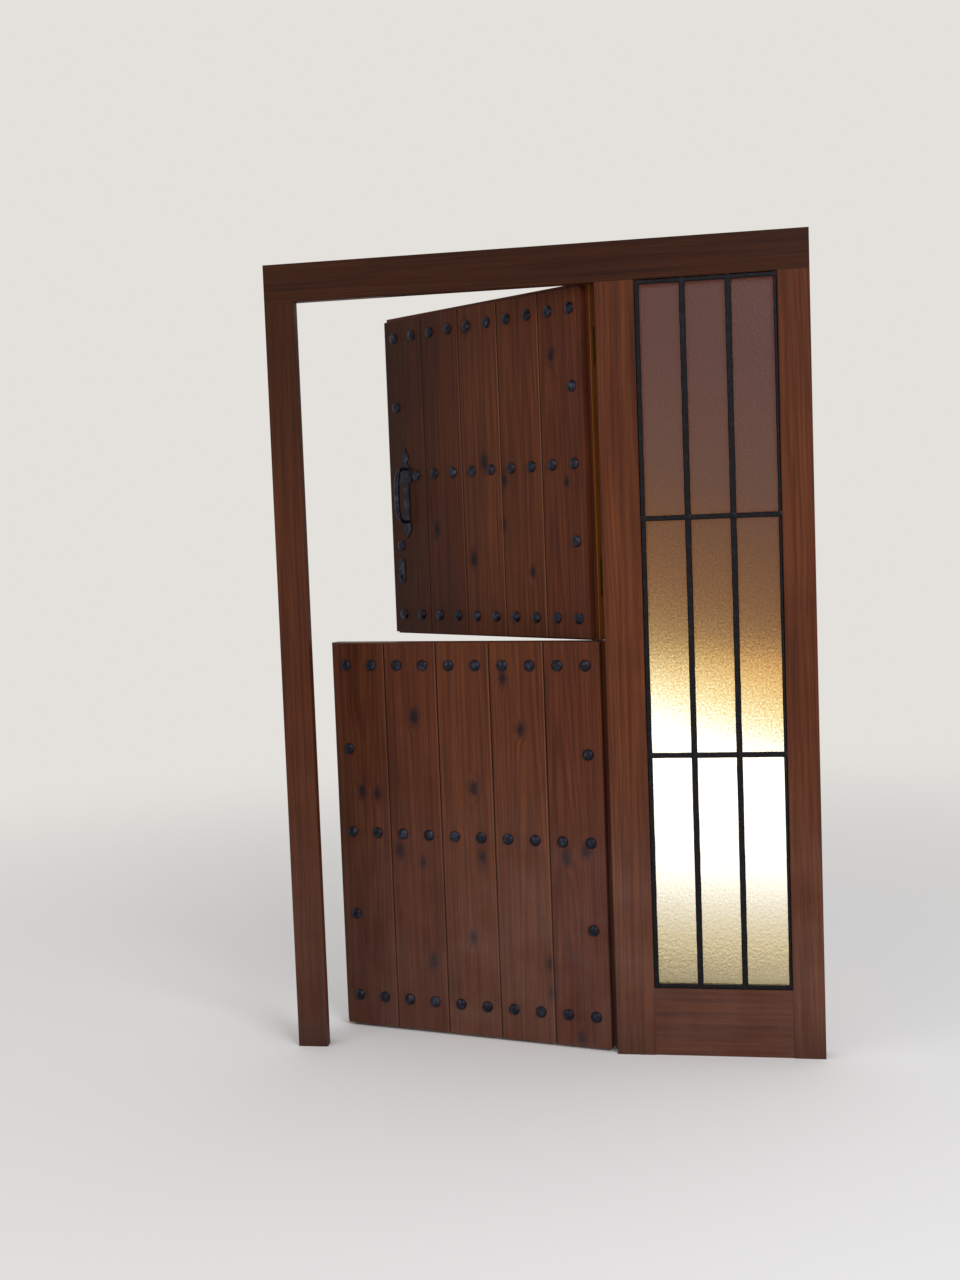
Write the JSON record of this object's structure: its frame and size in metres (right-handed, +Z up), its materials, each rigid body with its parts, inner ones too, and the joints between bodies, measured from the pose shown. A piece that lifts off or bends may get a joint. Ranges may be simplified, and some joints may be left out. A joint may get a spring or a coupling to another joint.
{
  "type": "dutch stable door",
  "caption": "Two-leaf plank door with iron studs in a timber frame with a grilled, glazed sidelight; each leaf swings inward on its own hinges",
  "frame": {"origin": "middle of the mullion's foot on the floor, at half the frame's depth", "axes": "+X towards the sidelight along the frame, +Y into the building, +Z up"},
  "size_m": [1.476, 0.5767, 2.205],
  "materials": {
    "stained_pine": "solid pine with knots, reddish brown stain and satin varnish",
    "forged_iron": "hammered wrought iron, blackened",
    "brass_plated_steel": "steel with a dull brass plating",
    "zinc_steel": "zinc plated steel",
    "patterned_glass": "hammered obscure glass"
  },
  "bodies": {
    "root": {"left_jamb": "stained_pine", "mullion": "stained_pine", "right_jamb": "stained_pine", "head_rail": "stained_pine", "sidelight_sill_rail": "stained_pine", "sidelight_glass": "patterned_glass", "glazing_beads": "stained_pine", "sidelight_grille": "forged_iron", "strike_plate": "zinc_steel", "jamb_keeper": "forged_iron", "frame_hinge_plate_1": "brass_plated_steel", "frame_hinge_plate_2": "brass_plated_steel", "frame_hinge_plate_3": "brass_plated_steel", "frame_hinge_plate_4": "brass_plated_steel", "hinge_pins": "brass_plated_steel"},
    "lower_leaf": {"lower_plank_1": "stained_pine", "lower_plank_2": "stained_pine", "lower_plank_3": "stained_pine", "lower_plank_4": "stained_pine", "lower_plank_5": "stained_pine", "lower_hinge_plate_1": "brass_plated_steel", "lower_hinge_plate_2": "brass_plated_steel", "lower_hinge_stile": "stained_pine", "lower_lock_stile": "stained_pine", "lower_bottom_rail": "stained_pine", "lower_middle_rail": "stained_pine", "lower_top_rail": "stained_pine", "lower_studs": "forged_iron", "lower_bolt_plate": "forged_iron", "joining_keeper": "forged_iron"},
    "upper_leaf": {"upper_plank_1": "stained_pine", "upper_plank_2": "stained_pine", "upper_plank_3": "stained_pine", "upper_plank_4": "stained_pine", "upper_plank_5": "stained_pine", "upper_hinge_plate_1": "brass_plated_steel", "upper_hinge_plate_2": "brass_plated_steel", "upper_hinge_stile": "stained_pine", "upper_lock_stile": "stained_pine", "upper_bottom_rail": "stained_pine", "upper_middle_rail": "stained_pine", "upper_top_rail": "stained_pine", "upper_studs": "forged_iron", "pull_plate": "forged_iron", "pull_grip": "forged_iron", "outer_key_plate": "forged_iron", "inner_key_plate": "forged_iron", "lock_case": "zinc_steel", "lock_forend": "zinc_steel", "joining_bolt_plate": "forged_iron"},
    "lower_bolt": {"lower_bolt_rod": "forged_iron"},
    "joining_bolt": {"joining_bolt_rod": "forged_iron"},
    "dead_bolt": {"dead_bolt": "zinc_steel"}
  },
  "joints": [
    {"name": "lower_leaf_hinge", "type": "hinge", "parent": "root", "child": "lower_leaf", "pos_m": [-0.041, 0.043, 0], "axis": [0, 0, -1], "range_deg": [-13, 92]},
    {"name": "upper_leaf_hinge", "type": "hinge", "parent": "root", "child": "upper_leaf", "pos_m": [-0.041, 0.043, 0], "axis": [0, 0, -1], "range_deg": [-36.5, 68.5]},
    {"name": "lower_bolt_slide", "type": "slide", "parent": "lower_leaf", "child": "lower_bolt", "axis": [-0.9744, 0.225, 0], "range_m": [0, 0.036]},
    {"name": "joining_bolt_slide", "type": "slide", "parent": "upper_leaf", "child": "joining_bolt", "axis": [0, 0, -1], "range_m": [0, 0.036]},
    {"name": "dead_bolt_slide", "type": "slide", "parent": "upper_leaf", "child": "dead_bolt", "axis": [-0.8039, 0.5948, 0], "range_m": [0, 0.02]}
  ]
}
